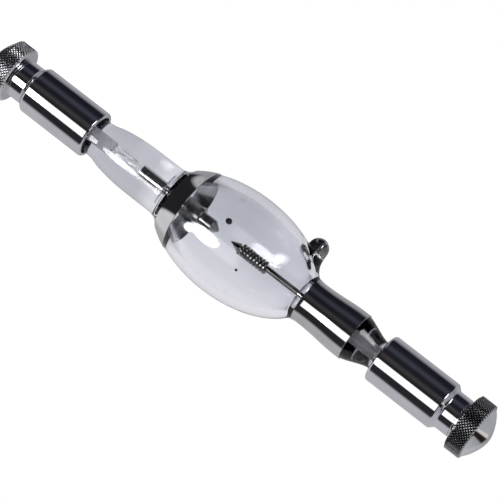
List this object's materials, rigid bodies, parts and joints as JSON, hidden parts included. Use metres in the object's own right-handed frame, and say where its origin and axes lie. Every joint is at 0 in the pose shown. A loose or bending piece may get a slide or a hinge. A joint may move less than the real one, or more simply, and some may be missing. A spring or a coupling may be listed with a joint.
{
  "type": "mercury arc lamp",
  "caption": "Short-arc mercury lamp with a clear quartz bulb, sealed electrodes, plated end caps and knurled terminal thumb nuts.",
  "frame": {"origin": "on the lamp's axis, at the outer end of the anode cap's cylindrical wall", "axes": "+Z along the lamp's axis from the anode end to the cathode end; -X towards the melted-off filling tip"},
  "size_m": [0.0288, 0.0284, 0.16],
  "materials": {
    "quartz": "clear fused quartz, smooth",
    "mirror_film": "thin fired metal film, mirror bright",
    "tungsten": "turned and drawn tungsten, grey satin",
    "molybdenum": "rolled molybdenum foil, bright",
    "lead_metal": "drawn molybdenum rod, dull grey",
    "mercury": "liquid metal bead",
    "cap_plating": "nickel plated brass, polished",
    "nut_plating": "nickel plated brass, knurled rim and polished dome",
    "cement": "matt base cement",
    "connector": "drawn brass tube, dull",
    "stud_steel": "threaded steel",
    "washer_steel": "nickel plated"
  },
  "bodies": {
    "lamp": {"quartz_envelope": "quartz", "shoulder_mirror_film": "mirror_film", "stem_mirror_film": "mirror_film", "anode": "tungsten", "anode_rod": "tungsten", "cathode": "tungsten", "cathode_coil": "tungsten", "mercury_beads": "mercury", "anode_foil": "molybdenum", "anode_outer_lead": "lead_metal", "anode_cap": "cap_plating", "anode_cap_cement": "cement", "anode_connector": "connector", "anode_stud": "stud_steel", "cathode_foil": "molybdenum", "cathode_outer_lead": "lead_metal", "cathode_cap": "cap_plating", "cathode_cap_cement": "cement", "cathode_connector": "connector", "cathode_stud": "stud_steel"},
    "anode_washer": {"anode_washer": "washer_steel"},
    "anode_nut": {"anode_thumb_nut": "nut_plating"},
    "cathode_washer": {"cathode_washer": "washer_steel"},
    "cathode_nut": {"cathode_thumb_nut": "nut_plating"}
  },
  "joints": [
    {"name": "anode_nut_travel", "type": "slide", "parent": "lamp", "child": "anode_washer", "axis": [0, 0, -1], "range_m": [0, 0.004]},
    {"name": "anode_nut_turn", "type": "hinge", "parent": "anode_washer", "child": "anode_nut", "pos_m": [0, 0, 0], "axis": [0, 0, -1], "range_deg": [0, 1800]},
    {"name": "cathode_nut_travel", "type": "slide", "parent": "lamp", "child": "cathode_washer", "axis": [0, 0, 1], "range_m": [0, 0.004]},
    {"name": "cathode_nut_turn", "type": "hinge", "parent": "cathode_washer", "child": "cathode_nut", "pos_m": [0, 0, 0], "axis": [0, 0, 1], "range_deg": [0, 1800]}
  ],
  "couplings": [
    {"joint": "anode_nut_turn", "follows": "anode_nut_travel", "rad_per_m": 7854},
    {"joint": "cathode_nut_turn", "follows": "cathode_nut_travel", "rad_per_m": 7854}
  ]
}
